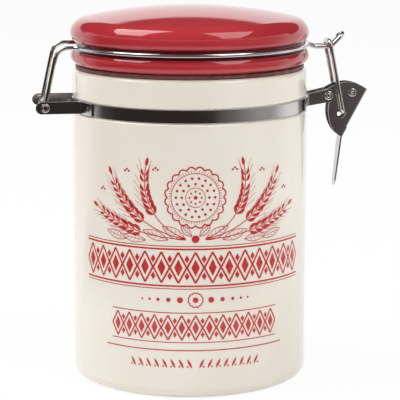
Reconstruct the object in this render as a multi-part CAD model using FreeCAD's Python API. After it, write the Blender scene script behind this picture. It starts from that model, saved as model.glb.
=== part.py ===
# Clip-top ceramic biscuit jar: a glazed jar and lid, a rubber gasket, one bent lid wire that is
# also the hinge, and a stamped clasp with its wire link, all carried by a steel neck band.
# Frame: millimetres, +Z up, origin on the jar's axis at the foot, hinge at -X, clasp at +X.

import FreeCAD, Part
import math
import os

from FreeCAD import Vector

# Jar
JAR_RADIUS = 62.5
JAR_WALL = 5.0
JAR_FLOOR = 7.0
RIM_Z = 165.5
RIM_ROUND = 2.2
FOOT_ROUND = 5.5
FOOT_RING_WIDTH = 5.0
FOOT_RECESS = 1.6
INNER_FLOOR_ROUND = 7.0

# Neck groove and the band that sits in it
BAND_BELOW_RIM = 18.5
BAND_HEIGHT = 6.4
BAND_THICK = 0.7
BAND_SEAT_GAP = 0.05
GROOVE_DEPTH = 1.3
GROOVE_SIDE_GAP = 0.5
GROOVE_LIP = 1.0
GROOVE_LIP_BULGE = 0.3
BAND_LAP_ANGLE = 11.0

# Lid
LID_OVERHANG = 0.8
GASKET_HEIGHT = 2.3
GASKET_INSET = 1.8
GASKET_ROUND = 0.7
LOWER_ROLL_HEIGHT = 8.8
LOWER_ROLL_DEPTH = 4.6
UPPER_ROLL_BELOW = 5.4
UPPER_ROLL_ABOVE = 8.0
UPPER_ROLL_DEPTH = 9.5
LID_EDGE_SLOPE = 12.3
LID_GROOVE_FLOOR_GAP = 0.15
PLUG_TO_MOUTH = 4.0
PLUG_DEPTH = 5.0
PLUG_ROUND = 1.5
LID_WALL = 6.0
LID_ROOF = 7.0
RECESS_ROUND = 4.0

# Wire stock, and the lid wire bent from it
WIRE_RADIUS = 1.1
RING_INSET = 1.3
GROOVE_WIRE_GAP = 0.3
HINGE_REACH = 15.5
LEG_HALF_SPACING = 15.4
LEG_TOP_REACH = 8.7
LEG_TOP_BEND = 7.0
LEG_FOOT_BEND = 2.0
RING_TO_LEG_ANGLE = 20.0
RING_TO_LEG_BEND = 5.0
RING_TO_NECK_ANGLE = 10.0
RING_TO_NECK_RUN = 5.0
RING_TO_NECK_BEND = 3.0
NECK_START_REACH = 4.0
NECK_START_BEND = 5.0
NECK_HALF_SPACING = 3.75
NECK_DROP = 2.2
NOSE_REACH = 13.3
NOSE_BEND = 3.0
NOSE_RISE = 6.8
NOSE_ANGLE = 45.0

# Sheet metal brackets, welded to the band by their feet
SHEET = 0.8
WELD_GAP = 0.02
HINGE_EAR_FACE = 18.0
HINGE_EAR_HEIGHT = 6.4
HINGE_EAR_TIP = 5.0
HINGE_FOOT_ANGLE = 29.0
HINGE_EAR_BEND = 3.2
CLASP_EAR_REACH = 3.5
CLASP_FOOT_ANGLE = 23.0
CLASP_EAR_BEND = 2.0

# Eyelets and tubular rivets
EYELET_RADIUS = 1.75
EYELET_FLANGE_RADIUS = 2.35
EYELET_FLANGE = 0.4
RUNNING_GAP = 0.05
SEAT_GAP = 0.02
RIVET_RADIUS = 1.5
RIVET_BORE = 0.75
RIVET_HEAD_RADIUS = 2.4
RIVET_HEAD = 0.5
RIVET_TAIL_RADIUS = 2.2
RIVET_TAIL = 0.4

# Clasp lever, with its outline measured from its pivot (out from the jar, up)
PIVOT_REACH = 12.0
PIVOT_RISE = 2.3
LEVER_HALF_WIDTH = 4.5
LEVER_EAR_GAP = 0.3
LEVER_LOBE = 3.3
WEB_TOP = (21.4, 2.8)
WEB_FOOT = (7.6, -22.7)
CROWN_MID = (16.2, 5.7)
CROWN_TOP = (10.5, 7.0)
SHOULDER_MID = (4.4, 5.9)
BELLY_MID = (0.1, -9.5)
BELLY_END = (2.9, -18.6)
TOE_MID = (4.9, -20.9)
WEB_BEND = 1.2
TAB_LENGTH = 27.0
TAB_TURN = 22.0
TAB_BEND = 6.0
TAB_TIP_WIDTH = 6.4
CHANNEL_OVERRUN = 7.0
STOP_RIVET = (13.1, 1.3)

# Link wire, hooked over the neck of the lid wire
LINK_HOLE = (7.2, -10.1)
LINK_HOLE_RADIUS = 2.3
LINK_PULL = (0.36, 1.04)
LINK_HALF_SPACING = 7.2
LINK_FOOT_END = 3.1
LINK_FOOT_BEND = 2.0
LINK_TOP_BEND = 3.4
LINK_OVER_NECK = 3.3
LINK_TOP_REACH = 12.0

# Worked-out levels and radii
BAND_Z = RIM_Z - BAND_BELOW_RIM
MOUTH_RADIUS = JAR_RADIUS - JAR_WALL
LID_RADIUS = JAR_RADIUS + LID_OVERHANG
PLUG_RADIUS = MOUTH_RADIUS - PLUG_TO_MOUTH
RING_RADIUS = LID_RADIUS - RING_INSET
HINGE_X = -(JAR_RADIUS + HINGE_REACH)
LEG_TOP_X = -(JAR_RADIUS + LEG_TOP_REACH)
NECK_START_X = JAR_RADIUS + NECK_START_REACH
NOSE_X = JAR_RADIUS + NOSE_REACH
PIVOT_X = JAR_RADIUS + PIVOT_REACH
LINK_TOP_X = JAR_RADIUS + LINK_TOP_REACH
GASKET_TOP = RIM_Z + GASKET_HEIGHT
WIRE_Z = GASKET_TOP + LOWER_ROLL_HEIGHT + WIRE_RADIUS
UPPER_ROLL_Z = WIRE_Z + WIRE_RADIUS + UPPER_ROLL_BELOW
NECK_Z = WIRE_Z - NECK_DROP
GROOVE_RADIUS = JAR_RADIUS - GROOVE_DEPTH
BAND_INNER = GROOVE_RADIUS + BAND_SEAT_GAP
BAND_OUTER = BAND_INNER + BAND_THICK
FOOT_INNER = BAND_OUTER + WELD_GAP
HINGE_Z = BAND_Z
PIVOT_Z = BAND_Z + PIVOT_RISE
CLASP_EAR_FACE = LEVER_HALF_WIDTH + LEVER_EAR_GAP
LINK_PIN = (LINK_HOLE[0] + LINK_PULL[0], LINK_HOLE[1] + LINK_PULL[1])

UP = Vector(0, 0, 1)
ACROSS = Vector(0, 1, 0)
CENTRE = Vector(0, 0, 0)
FRONT = -1
REAR = 1
CLOSE = 0.02


def arc(start, middle, end):
    """The edge of a circle through three points."""
    return Part.Arc(start, middle, end).toShape()


def line(start, end):
    """A straight edge."""
    return Part.LineSegment(start, end).toShape()


def section(radius, height):
    """A point of a profile that is turned about the jar's axis."""
    return Vector(radius, 0, height)


def turned(edges):
    """The solid that a closed profile sweeps in one turn about the jar's axis."""
    face = Part.Face(Part.Wire(edges))
    return face.revolve(CENTRE, UP, 360)


def quarter(centre, across, up, start, end):
    """A stretch of an upright ellipse in the profile plane, between two angles in degrees."""
    if across >= up:
        curve = Part.Ellipse(
            section(centre[0] + across, centre[1]),
            section(centre[0], centre[1] + up),
            section(*centre),
        )
        turn = 0.0
    else:
        curve = Part.Ellipse(
            section(centre[0], centre[1] + up),
            section(centre[0] - across, centre[1]),
            section(*centre),
        )
        turn = 90.0
    return Part.Edge(curve, math.radians(start - turn), math.radians(end - turn))


def corner(before, at, after, radius):
    """The two tangent points and the middle of the arc that rounds one corner of a route."""
    towards_before = (before - at).normalize()
    towards_after = (after - at).normalize()
    half = towards_before.getAngle(towards_after) / 2
    reach = radius / math.tan(half)
    centre = at + (towards_before + towards_after).normalize() * (radius / math.sin(half))
    middle = centre + (at - centre).normalize() * radius
    return at + towards_before * reach, middle, at + towards_after * reach


def rod(start, end, radius):
    """A straight stretch of wire."""
    along = end - start
    return Part.makeCylinder(radius, along.Length, start, along)


def bend(start, middle, end, radius):
    """A stretch of wire bent to the circle through three points."""
    edge = arc(start, middle, end)
    centre = edge.Curve.Center
    turn = math.degrees(edge.Length / edge.Curve.Radius)
    normal = (middle - start).cross(end - middle).normalize()
    heading = normal.cross(start - centre).normalize()
    disc = Part.Face(Part.Wire(Part.Edge(Part.Circle(start, heading, radius))))
    return disc.revolve(centre, normal, turn)


def bent_run(points, bends, radius):
    """Wire along straight runs, with each inner point rounded by its own bend radius."""
    pieces = []
    here = points[0]
    for before, at, after, size in zip(points, points[1:], points[2:], bends):
        into, middle, out = corner(before, at, after, size)
        pieces.append(rod(here, into, radius))
        pieces.append(bend(into, middle, out, radius))
        here = out
    pieces.append(rod(here, points[-1], radius))
    return pieces


def joined(pieces):
    """One solid from stretches that meet face to face."""
    whole = pieces[0].multiFuse(pieces[1:])
    return whole.removeSplitter().Solids[0]


def mirrored(shape):
    """The same shape on the other side of the plane through hinge and clasp."""
    return shape.mirror(CENTRE, ACROSS)


def cross_pin(x, z, near, far, radius):
    """A round bar across the jar, from one Y to another."""
    return Part.makeCylinder(radius, far - near, Vector(x, near, z), ACROSS)


def jar_body():
    """The turned jar: foot ring, straight wall, groove for the band, rounded rim, hollow inside."""
    inside = MOUTH_RADIUS
    foot_outer = JAR_RADIUS - FOOT_ROUND
    foot_inner = foot_outer - FOOT_RING_WIDTH
    slant = FOOT_ROUND * (1 - math.sqrt(0.5))
    low = BAND_Z - BAND_HEIGHT / 2 - GROOVE_SIDE_GAP
    high = BAND_Z + BAND_HEIGHT / 2 + GROOVE_SIDE_GAP
    bulge_in = GROOVE_DEPTH * GROOVE_LIP_BULGE
    bulge_down = GROOVE_LIP * GROOVE_LIP_BULGE
    rim_slant = RIM_ROUND * (1 - math.sqrt(0.5))
    floor_slant = INNER_FLOOR_ROUND * (1 - math.sqrt(0.5))
    points = [
        section(0, FOOT_RECESS),
        section(foot_inner - FOOT_RECESS, FOOT_RECESS),
        section(foot_inner, 0),
        section(foot_outer, 0),
        section(JAR_RADIUS - slant, slant),
        section(JAR_RADIUS, FOOT_ROUND),
        section(JAR_RADIUS, low - GROOVE_LIP),
        section(JAR_RADIUS - bulge_in, low - bulge_down),
        section(GROOVE_RADIUS, low),
        section(GROOVE_RADIUS, high),
        section(JAR_RADIUS - bulge_in, high + bulge_down),
        section(JAR_RADIUS, high + GROOVE_LIP),
        section(JAR_RADIUS, RIM_Z - RIM_ROUND),
        section(JAR_RADIUS - rim_slant, RIM_Z - rim_slant),
        section(JAR_RADIUS - RIM_ROUND, RIM_Z),
        section(inside + RIM_ROUND, RIM_Z),
        section(inside + rim_slant, RIM_Z - rim_slant),
        section(inside, RIM_Z - RIM_ROUND),
        section(inside, JAR_FLOOR + INNER_FLOOR_ROUND),
        section(inside - floor_slant, JAR_FLOOR + floor_slant),
        section(inside - INNER_FLOOR_ROUND, JAR_FLOOR),
        section(0, JAR_FLOOR),
    ]
    p = points
    edges = [
        line(p[0], p[1]),
        line(p[1], p[2]),
        line(p[2], p[3]),
        arc(p[3], p[4], p[5]),
        line(p[5], p[6]),
        arc(p[6], p[7], p[8]),
        line(p[8], p[9]),
        arc(p[9], p[10], p[11]),
        line(p[11], p[12]),
        arc(p[12], p[13], p[14]),
        line(p[14], p[15]),
        arc(p[15], p[16], p[17]),
        line(p[17], p[18]),
        arc(p[18], p[19], p[20]),
        line(p[20], p[21]),
        line(p[21], p[0]),
    ]
    return turned(edges)


def lid():
    """The turned lid: plug, seat, two rolls with the wire's groove between them, domed top."""
    groove_floor = RING_RADIUS - WIRE_RADIUS - GROOVE_WIRE_GAP
    groove_low = WIRE_Z - WIRE_RADIUS - LID_GROOVE_FLOOR_GAP
    groove_high = WIRE_Z + WIRE_RADIUS + LID_GROOVE_FLOOR_GAP
    low_half = (groove_low - GASKET_TOP) / 2
    low_centre = (LID_RADIUS - LOWER_ROLL_DEPTH, GASKET_TOP + low_half)
    below_centre = (LID_RADIUS - LOWER_ROLL_DEPTH, UPPER_ROLL_Z)
    up_centre = (LID_RADIUS - UPPER_ROLL_DEPTH, UPPER_ROLL_Z)
    up_half = UPPER_ROLL_Z - groove_high
    meet = math.degrees(math.acos((groove_floor - low_centre[0]) / LOWER_ROLL_DEPTH))
    floor_low = low_centre[1] + low_half * math.sin(math.radians(meet))
    floor_high = UPPER_ROLL_Z - up_half * math.sin(math.radians(meet))
    slope = math.radians(LID_EDGE_SLOPE)
    leave = math.atan(UPPER_ROLL_ABOVE / (UPPER_ROLL_DEPTH * math.tan(slope)))
    edge_radius = up_centre[0] + UPPER_ROLL_DEPTH * math.cos(leave)
    edge_z = UPPER_ROLL_Z + UPPER_ROLL_ABOVE * math.sin(leave)
    dome = edge_radius / math.sin(slope)
    dome_z = edge_z - dome * math.cos(slope)
    top = section(0, dome_z + dome)
    halfway = section(dome * math.sin(slope / 2), dome_z + dome * math.cos(slope / 2))
    plug_foot = RIM_Z - PLUG_DEPTH
    recess = PLUG_RADIUS - LID_WALL
    roof = edge_z - LID_ROOF
    blend = RECESS_ROUND * (1 - math.sqrt(0.5))
    points = [
        top,
        section(0, roof),
        section(recess - RECESS_ROUND, roof),
        section(recess - blend, roof - blend),
        section(recess, roof - RECESS_ROUND),
        section(recess, plug_foot + PLUG_ROUND),
        section(recess + PLUG_ROUND, plug_foot),
        section(PLUG_RADIUS - PLUG_ROUND, plug_foot),
        section(PLUG_RADIUS, plug_foot + PLUG_ROUND),
        section(PLUG_RADIUS, GASKET_TOP),
        section(low_centre[0], GASKET_TOP),
    ]
    p = points
    edges = [
        quarter(low_centre, LOWER_ROLL_DEPTH, low_half, -90, meet),
        line(section(groove_floor, floor_low), section(groove_floor, floor_high)),
        quarter(below_centre, LOWER_ROLL_DEPTH, up_half, -meet, 0),
        quarter(up_centre, UPPER_ROLL_DEPTH, UPPER_ROLL_ABOVE, 0, math.degrees(leave)),
        arc(section(edge_radius, edge_z), halfway, top),
        line(p[0], p[1]),
        line(p[1], p[2]),
        arc(p[2], p[3], p[4]),
        line(p[4], p[5]),
        line(p[5], p[6]),
        line(p[6], p[7]),
        line(p[7], p[8]),
        line(p[8], p[9]),
        line(p[9], p[10]),
    ]
    return turned(edges)


def lid_gasket():
    """The rubber ring on the plug, which the lid presses on the rim."""
    outer = JAR_RADIUS - GASKET_INSET
    inner = PLUG_RADIUS + SEAT_GAP
    ring = Part.makeCylinder(outer, GASKET_HEIGHT, section(0, RIM_Z), UP)
    ring = ring.cut(Part.makeCylinder(inner, GASKET_HEIGHT, section(0, RIM_Z), UP))
    edges = [e for e in ring.Edges if e.BoundBox.XMax > outer - CLOSE and e.Closed]
    return ring.makeFillet(GASKET_ROUND, edges)


def neck_band():
    """The steel strap in the jar's groove, with its lapped end between the hinge ears."""
    low = section(0, BAND_Z - BAND_HEIGHT / 2)
    strap = Part.makeCylinder(BAND_OUTER, BAND_HEIGHT, low, UP)
    strap = strap.cut(Part.makeCylinder(BAND_INNER, BAND_HEIGHT, low, UP))
    lap = Part.makeCylinder(BAND_OUTER + BAND_THICK, BAND_HEIGHT, low, UP, BAND_LAP_ANGLE)
    lap = lap.cut(Part.makeCylinder(BAND_INNER, BAND_HEIGHT, low, UP))
    lap.rotate(CENTRE, UP, 180 - BAND_LAP_ANGLE / 2)
    return strap.fuse(lap).removeSplitter().Solids[0]


def bracket(side, towards, ear_face, foot_angle, ear_bend, ear_end, low, high):
    """One bent strip: a foot along the band, a bend, and a flat ear that stands out from the jar.

    side is the strip's side of the jar in Y, towards is -1 at the hinge and 1 at the clasp.
    """
    foot_radius = FOOT_INNER + SHEET / 2
    ear_middle = ear_face + SHEET / 2
    bend_middle = ear_middle + ear_bend
    reach = foot_radius + ear_bend
    bend_x = math.sqrt(reach**2 - bend_middle**2)
    lift = math.asin(bend_middle / reach)
    foot_turn = math.radians(foot_angle)

    def place(x, y):
        return Vector(towards * x, side * y, low)

    def on_foot(angle):
        return place(foot_radius * math.cos(angle), foot_radius * math.sin(angle))

    swing = (math.radians(-90) + lift + math.pi) / 2
    bend_point = place(
        bend_x - ear_bend * math.sin(swing), bend_middle - ear_bend * math.cos(swing)
    )
    path = Part.Wire(
        [
            arc(on_foot(foot_turn), on_foot((foot_turn + lift) / 2), on_foot(lift)),
            arc(on_foot(lift), bend_point, place(bend_x, ear_middle)),
            line(place(bend_x, ear_middle), place(ear_end, ear_middle)),
        ]
    )
    middle = path.makeOffset2D(-SHEET / 2, 0, False, True)
    strip = middle.makeOffset2D(SHEET, 0, True, True)
    return strip.extrude(UP * (high - low))


def ear_outline(x, z, round_radius, towards, root_low, root_high):
    """A plate across the jar with the side view of an ear: square root and round end."""
    low_end = Vector(x, 0, z - round_radius)
    tip = Vector(x + towards * round_radius, 0, z)
    high_end = Vector(x, 0, z + round_radius)
    root_x = towards * JAR_RADIUS
    face = Part.Face(
        Part.Wire(
            [
                line(Vector(0, 0, root_low), Vector(root_x, 0, root_low)),
                line(Vector(root_x, 0, root_low), low_end),
                arc(low_end, tip, high_end),
                line(high_end, Vector(root_x, 0, root_high)),
                line(Vector(root_x, 0, root_high), Vector(0, 0, root_high)),
                line(Vector(0, 0, root_high), Vector(0, 0, root_low)),
            ]
        )
    )
    face.translate(ACROSS * -JAR_RADIUS)
    return face.extrude(ACROSS * (2 * JAR_RADIUS))


def hinge_ear(side):
    """A hinge bracket, whose ear holds the eyelet that a wire leg turns in."""
    half = HINGE_EAR_HEIGHT / 2
    tip = HINGE_X - HINGE_EAR_TIP
    strip = bracket(
        side,
        -1,
        HINGE_EAR_FACE,
        HINGE_FOOT_ANGLE,
        HINGE_EAR_BEND,
        -tip,
        HINGE_Z - half,
        HINGE_Z + half,
    )
    outline = ear_outline(tip + half, HINGE_Z, half, -1, HINGE_Z - half, HINGE_Z + half)
    hole = cross_pin(HINGE_X, HINGE_Z, -JAR_RADIUS, JAR_RADIUS, EYELET_RADIUS + SEAT_GAP)
    return strip.common(outline).cut(hole).Solids[0]


def hinge_eyelet(side):
    """The flanged tube in a hinge ear, bored for the end of the lid wire."""
    inner = HINGE_EAR_FACE - SEAT_GAP
    outer = HINGE_EAR_FACE + SHEET + SEAT_GAP
    barrel = cross_pin(HINGE_X, HINGE_Z, inner, outer, EYELET_RADIUS)
    near = cross_pin(HINGE_X, HINGE_Z, inner - EYELET_FLANGE, inner, EYELET_FLANGE_RADIUS)
    far = cross_pin(HINGE_X, HINGE_Z, outer, outer + EYELET_FLANGE, EYELET_FLANGE_RADIUS)
    bore = cross_pin(HINGE_X, HINGE_Z, 0, JAR_RADIUS, WIRE_RADIUS + RUNNING_GAP)
    eyelet = joined([barrel, near, far]).cut(bore).Solids[0]
    return eyelet if side == REAR else mirrored(eyelet)


def wire_half():
    """The rear half of the lid wire: hinge end, leg, half ring, and half of the neck and nose."""
    eyelet_face = HINGE_EAR_FACE + SHEET + EYELET_FLANGE
    leave = math.radians(RING_TO_LEG_ANGLE)
    ring_start = Vector(
        -RING_RADIUS * math.cos(leave), RING_RADIUS * math.sin(leave), WIRE_Z
    )
    run = (ring_start.y - LEG_HALF_SPACING) / math.cos(leave)
    leg_corner = ring_start + Vector(-math.sin(leave), -math.cos(leave), 0) * run
    leg = bent_run(
        [
            Vector(HINGE_X, eyelet_face, HINGE_Z),
            Vector(HINGE_X, LEG_HALF_SPACING, HINGE_Z),
            Vector(LEG_TOP_X, LEG_HALF_SPACING, WIRE_Z),
            leg_corner,
            ring_start,
        ],
        [LEG_FOOT_BEND, LEG_TOP_BEND, RING_TO_LEG_BEND],
        WIRE_RADIUS,
    )
    depart = math.radians(RING_TO_NECK_ANGLE)
    ring_end = Vector(
        RING_RADIUS * math.cos(depart), RING_RADIUS * math.sin(depart), WIRE_Z
    )
    ring_middle = Vector(0, RING_RADIUS, WIRE_Z)
    ring = bend(ring_start, ring_middle, ring_end, WIRE_RADIUS)
    neck_corner = ring_end + Vector(math.sin(depart), -math.cos(depart), 0) * RING_TO_NECK_RUN
    rise = math.radians(NOSE_ANGLE)
    climb = NOSE_RISE / math.sin(rise) - NECK_HALF_SPACING
    up_nose = Vector(math.cos(rise), 0, math.sin(rise))
    nose_foot = Vector(NOSE_X, NECK_HALF_SPACING, NECK_Z)
    nose_side = nose_foot + up_nose * climb
    neck = bent_run(
        [
            ring_end,
            neck_corner,
            Vector(NECK_START_X, NECK_HALF_SPACING, NECK_Z),
            nose_foot,
            nose_side,
        ],
        [RING_TO_NECK_BEND, NECK_START_BEND, NOSE_BEND],
        WIRE_RADIUS,
    )
    nose_tip = nose_side + up_nose * NECK_HALF_SPACING - ACROSS * NECK_HALF_SPACING
    return leg + [ring] + neck, nose_side, nose_tip


def lid_wire():
    """The one wire that rings the lid, hinges it and reaches out to the clasp."""
    half, nose_side, nose_tip = wire_half()
    other_side = Vector(nose_side.x, -nose_side.y, nose_side.z)
    nose = bend(nose_side, nose_tip, other_side, WIRE_RADIUS)
    return joined(half + [nose] + [mirrored(piece) for piece in half])


def clasp_ear(side):
    """A clasp bracket, whose ear slopes up a little to the lever's pivot."""
    half = BAND_HEIGHT / 2
    low = BAND_Z - half
    high = PIVOT_Z + CLASP_EAR_REACH
    end = PIVOT_X + CLASP_EAR_REACH
    strip = bracket(
        side, 1, CLASP_EAR_FACE, CLASP_FOOT_ANGLE, CLASP_EAR_BEND, end, low, high
    )
    outline = ear_outline(PIVOT_X, PIVOT_Z, CLASP_EAR_REACH, 1, low, BAND_Z + half)
    hole = cross_pin(PIVOT_X, PIVOT_Z, -JAR_RADIUS, JAR_RADIUS, RIVET_RADIUS + SEAT_GAP)
    return strip.common(outline).cut(hole).Solids[0]


def pivot_rivet(side):
    """The tubular rivet that holds a side of the lever to its ear and lets it turn."""
    outer = CLASP_EAR_FACE + SHEET + SEAT_GAP
    inner = LEVER_HALF_WIDTH - SHEET - RUNNING_GAP * 2
    shank = cross_pin(PIVOT_X, PIVOT_Z, inner - RIVET_TAIL, outer, RIVET_RADIUS)
    head = cross_pin(PIVOT_X, PIVOT_Z, outer, outer + RIVET_HEAD, RIVET_HEAD_RADIUS)
    tail = cross_pin(PIVOT_X, PIVOT_Z, inner - RIVET_TAIL, inner, RIVET_TAIL_RADIUS)
    bore = cross_pin(PIVOT_X, PIVOT_Z, 0, JAR_RADIUS, RIVET_BORE)
    rivet = joined([shank, head, tail]).cut(bore).Solids[0]
    return rivet if side == REAR else mirrored(rivet)


def from_pivot(point, y=0.0):
    """A point of the lever's side view, given from its pivot."""
    return Vector(PIVOT_X + point[0], y, PIVOT_Z + point[1])


def on_lobe(angle):
    """A point on the round lobe that surrounds the lever's pivot."""
    turn = math.radians(angle)
    return (LEVER_LOBE * math.cos(turn), LEVER_LOBE * math.sin(turn))


def lever_side(y):
    """The side view of the lever's cheeks, as a face at one Y."""
    web_top = from_pivot(WEB_TOP, y)
    crown_top = from_pivot(CROWN_TOP, y)
    lobe_top = from_pivot(on_lobe(115), y)
    lobe_foot = from_pivot(on_lobe(-75), y)
    belly_end = from_pivot(BELLY_END, y)
    web_foot = from_pivot(WEB_FOOT, y)
    return Part.Face(
        Part.Wire(
            [
                arc(web_top, from_pivot(CROWN_MID, y), crown_top),
                arc(crown_top, from_pivot(SHOULDER_MID, y), lobe_top),
                arc(lobe_top, from_pivot(on_lobe(180), y), lobe_foot),
                arc(lobe_foot, from_pivot(BELLY_MID, y), belly_end),
                arc(belly_end, from_pivot(TOE_MID, y), web_foot),
                line(web_foot, web_top),
            ]
        )
    )


def lever_tab():
    """The finger tab: the web's sheet carried on below the cheeks and narrowed to a round tip."""
    web_top = from_pivot(WEB_TOP)
    web_foot = from_pivot(WEB_FOOT)
    down = (web_foot - web_top).normalize()
    turn = FreeCAD.Rotation(ACROSS, -TAB_TURN)
    tab_down = turn.multVec(down)
    start = web_foot - down * TAB_BEND
    end = web_foot + tab_down * TAB_LENGTH
    into, middle, out = corner(start, web_foot, end, TAB_BEND)
    path = Part.Wire([line(start, into), arc(into, middle, out), line(out, end)])
    jarwards = ACROSS.cross(down)
    strip = path.makeOffset2D(SHEET, 0, True, True)
    if (strip.CenterOfMass - path.CenterOfMass).dot(jarwards) < 0:
        strip = path.makeOffset2D(-SHEET, 0, True, True)
    strip.translate(ACROSS * -LEVER_HALF_WIDTH)
    sheet = strip.extrude(ACROSS * (2 * LEVER_HALF_WIDTH))
    half_tip = TAB_TIP_WIDTH / 2
    taper_z = web_foot.z - TAB_BEND
    shoulder_z = end.z + half_tip
    outline = [
        Vector(0, -LEVER_HALF_WIDTH, web_top.z),
        Vector(0, LEVER_HALF_WIDTH, web_top.z),
        Vector(0, LEVER_HALF_WIDTH, taper_z),
        Vector(0, half_tip, shoulder_z),
        Vector(0, -half_tip, shoulder_z),
        Vector(0, -LEVER_HALF_WIDTH, taper_z),
    ]
    edges = [line(here, there) for here, there in zip(outline, outline[1:] + outline[:1])]
    edges[3] = arc(outline[3], Vector(0, 0, end.z), outline[4])
    face = Part.Face(Part.Wire(edges))
    return sheet.common(face.extrude(Vector(2 * PIVOT_X, 0, 0)))


def lever():
    """The stamped lever: two cheeks folded from one web, its pivot and link holes, and its tab."""
    width = ACROSS * (2 * LEVER_HALF_WIDTH)
    block = lever_side(-LEVER_HALF_WIDTH).extrude(width)
    down = (from_pivot(WEB_FOOT) - from_pivot(WEB_TOP)).normalize()
    outwards = down.cross(ACROSS)
    web_edges = [
        e
        for e in block.Edges
        if abs(abs(e.CenterOfMass.y) - LEVER_HALF_WIDTH) < CLOSE
        and abs((e.CenterOfMass - from_pivot(WEB_TOP)).dot(outwards)) < CLOSE
        and e.tangentAt(e.FirstParameter).cross(down).Length < CLOSE
    ]
    block = block.makeFillet(WEB_BEND, web_edges)
    long_way = 2 * CHANNEL_OVERRUN + (from_pivot(WEB_FOOT) - from_pivot(WEB_TOP)).Length
    inner = Part.makeBox(long_way, 2 * (LEVER_HALF_WIDTH - SHEET), long_way)
    inner = inner.makeFillet(
        WEB_BEND - SHEET,
        [
            e
            for e in inner.Edges
            if abs(e.CenterOfMass.x) < CLOSE and abs(e.CenterOfMass.z - long_way / 2) < CLOSE
        ],
    )
    place = FreeCAD.Placement(
        from_pivot(WEB_TOP) - outwards * SHEET - down * CHANNEL_OVERRUN,
        FreeCAD.Rotation(outwards * -1, ACROSS, down, "ZYX"),
    )
    inner.translate(Vector(0, SHEET - LEVER_HALF_WIDTH, 0))
    inner.Placement = place.multiply(inner.Placement)
    channel = block.cut(inner)
    whole = channel.fuse(lever_tab()).removeSplitter()
    for point, radius in (
        ((0, 0), RIVET_RADIUS + RUNNING_GAP),
        (LINK_HOLE, LINK_HOLE_RADIUS),
        (STOP_RIVET, RIVET_RADIUS + SEAT_GAP),
    ):
        at = from_pivot(point)
        whole = whole.cut(cross_pin(at.x, at.z, -JAR_RADIUS, JAR_RADIUS, radius))
    return whole.Solids[0]


def lever_cross_rivet():
    """The rivet that ties the lever's two cheeks together near the top of the web."""
    at = from_pivot(STOP_RIVET)
    outer = LEVER_HALF_WIDTH + SEAT_GAP
    shank = cross_pin(at.x, at.z, -outer, outer, RIVET_RADIUS)
    near = cross_pin(at.x, at.z, outer, outer + RIVET_TAIL, RIVET_TAIL_RADIUS)
    return joined([mirrored(near), shank, near])


def link_wire():
    """The U of wire that hangs on the lever and pulls the neck of the lid wire down."""
    foot = from_pivot(LINK_PIN)
    top = Vector(LINK_TOP_X, 0, NECK_Z + LINK_OVER_NECK)
    points = [
        Vector(foot.x, LINK_FOOT_END, foot.z),
        Vector(foot.x, LINK_HALF_SPACING, foot.z),
        Vector(top.x, LINK_HALF_SPACING, top.z),
        top,
    ]
    half = bent_run(points, [LINK_FOOT_BEND, LINK_TOP_BEND], WIRE_RADIUS)
    return joined(half + [mirrored(piece) for piece in half])


NODES = {
    "jar_body": jar_body,
    "lid": lid,
    "lid_gasket": lid_gasket,
    "neck_band": neck_band,
    "hinge_ear_front": lambda: hinge_ear(FRONT),
    "hinge_ear_rear": lambda: hinge_ear(REAR),
    "hinge_eyelet_front": lambda: hinge_eyelet(FRONT),
    "hinge_eyelet_rear": lambda: hinge_eyelet(REAR),
    "lid_wire": lid_wire,
    "clasp_ear_front": lambda: clasp_ear(FRONT),
    "clasp_ear_rear": lambda: clasp_ear(REAR),
    "pivot_rivet_front": lambda: pivot_rivet(FRONT),
    "pivot_rivet_rear": lambda: pivot_rivet(REAR),
    "clasp_lever": lever,
    "lever_cross_rivet": lever_cross_rivet,
    "link_wire": link_wire,
}


def main():
    os.makedirs("parts", exist_ok=True)
    for name, make in NODES.items():
        solid = make()
        box = solid.BoundBox
        print(
            f"{name}: volume {solid.Volume / 1000:.2f} cm3, solids {len(solid.Solids)},"
            f" valid {solid.isValid()}, x {box.XMin:.1f} {box.XMax:.1f},"
            f" y {box.YMin:.1f} {box.YMax:.1f}, z {box.ZMin:.1f} {box.ZMax:.1f}"
        )
        solid.exportStep(f"parts/{name}.step")


main()
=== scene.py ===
# %% [markdown]
# A clip-top biscuit jar, made ready for its portrait
#
# The CAD model already holds every solid of the jar: two glazed bodies, a seal, a steel neck band
# and a wire clasp. This lesson gives them their finishes, adds the thin print and the spot welds
# that are too fine for the solids, and lights the jar as a small studio would.

# %% Load the jar's frame
import math

import bmesh
import bpy
import numpy as np
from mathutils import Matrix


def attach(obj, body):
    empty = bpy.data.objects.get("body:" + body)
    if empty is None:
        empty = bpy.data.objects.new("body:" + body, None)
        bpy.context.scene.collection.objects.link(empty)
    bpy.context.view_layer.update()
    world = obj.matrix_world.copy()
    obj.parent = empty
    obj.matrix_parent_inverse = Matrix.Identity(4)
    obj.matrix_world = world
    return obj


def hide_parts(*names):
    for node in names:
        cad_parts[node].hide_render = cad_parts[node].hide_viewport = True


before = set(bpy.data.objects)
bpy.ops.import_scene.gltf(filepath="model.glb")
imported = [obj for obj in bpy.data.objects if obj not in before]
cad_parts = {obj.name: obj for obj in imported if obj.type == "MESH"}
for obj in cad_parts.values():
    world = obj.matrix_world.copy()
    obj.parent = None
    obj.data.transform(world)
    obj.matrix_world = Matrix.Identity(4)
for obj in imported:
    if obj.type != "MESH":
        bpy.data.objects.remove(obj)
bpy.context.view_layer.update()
MM = 0.001
print("solids loaded:", len(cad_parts))

# %% [markdown]
# The photograph was matched by fitting a camera to the jar's rings. A ring of known size looks
# flatter or rounder with the camera's height, and the difference between a near and a far ring
# gives its distance, so the camera is set from measured values and needs no trial and error.

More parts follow.
